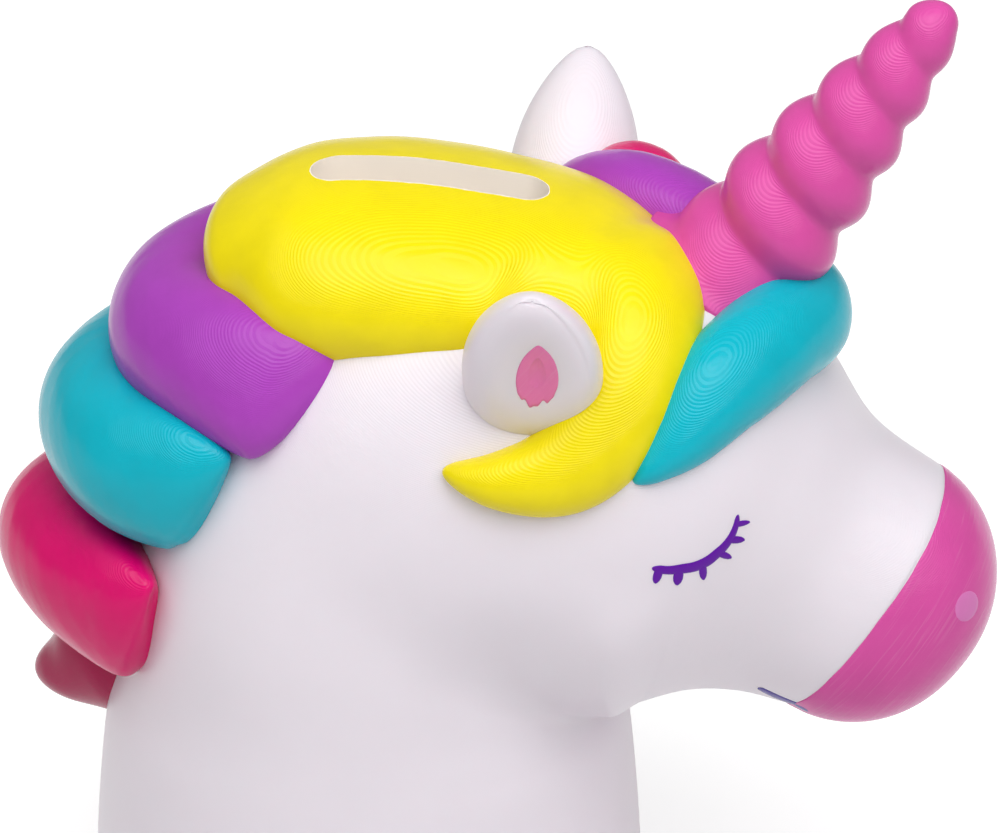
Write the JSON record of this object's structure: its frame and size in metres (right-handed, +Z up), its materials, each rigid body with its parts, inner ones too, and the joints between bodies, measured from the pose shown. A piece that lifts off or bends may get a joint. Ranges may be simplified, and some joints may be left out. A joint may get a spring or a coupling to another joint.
{
  "type": "money bank",
  "caption": "Hollow moulded money bank shaped as a horned horse head with painted hair, a coin slot in the crown and a stopper in the base.",
  "frame": {"origin": "centre of the round hole in the base, on the plane of the rim that the bank stands on", "axes": "+Z up, +X the way the head faces, +Y to the head's left side, so that the side towards the viewer is -Y"},
  "size_m": [0.1826, 0.1078, 0.1958],
  "materials": {
    "white_vinyl": "satin",
    "pink_paint": "gloss",
    "nostril_paint": "gloss",
    "mouth_paint": "gloss",
    "lash_paint": "gloss",
    "inner_ear_paint": "gloss",
    "yellow_paint": "gloss",
    "teal_paint": "gloss",
    "purple_paint": "gloss",
    "magenta_paint": "gloss",
    "dark_magenta_paint": "gloss",
    "stopper_plastic": "satin"
  },
  "bodies": {
    "bank": {"neck_shell": "white_vinyl", "head_shell": "white_vinyl", "muzzle": "pink_paint", "nostril_left": "nostril_paint", "nostril_right": "nostril_paint", "mouth": "mouth_paint", "eye_left": "lash_paint", "eye_right": "lash_paint", "ear_left": "white_vinyl", "ear_right": "white_vinyl", "inner_ear_left": "inner_ear_paint", "inner_ear_right": "inner_ear_paint", "horn": "pink_paint", "crown_lock": "yellow_paint", "yellow_forelock": "yellow_paint", "teal_forelock": "teal_paint", "purple_forelock": "purple_paint", "magenta_forelock": "magenta_paint", "purple_mane": "purple_paint", "teal_mane": "teal_paint", "magenta_mane": "magenta_paint", "mane_tip": "dark_magenta_paint"},
    "stopper": {"stopper": "stopper_plastic", "stopper_tab": "stopper_plastic"}
  },
  "joints": [
    {"name": "stopper_pull", "type": "slide", "parent": "bank", "child": "stopper", "axis": [0, 0, -1], "range_m": [0, 0.03]}
  ]
}
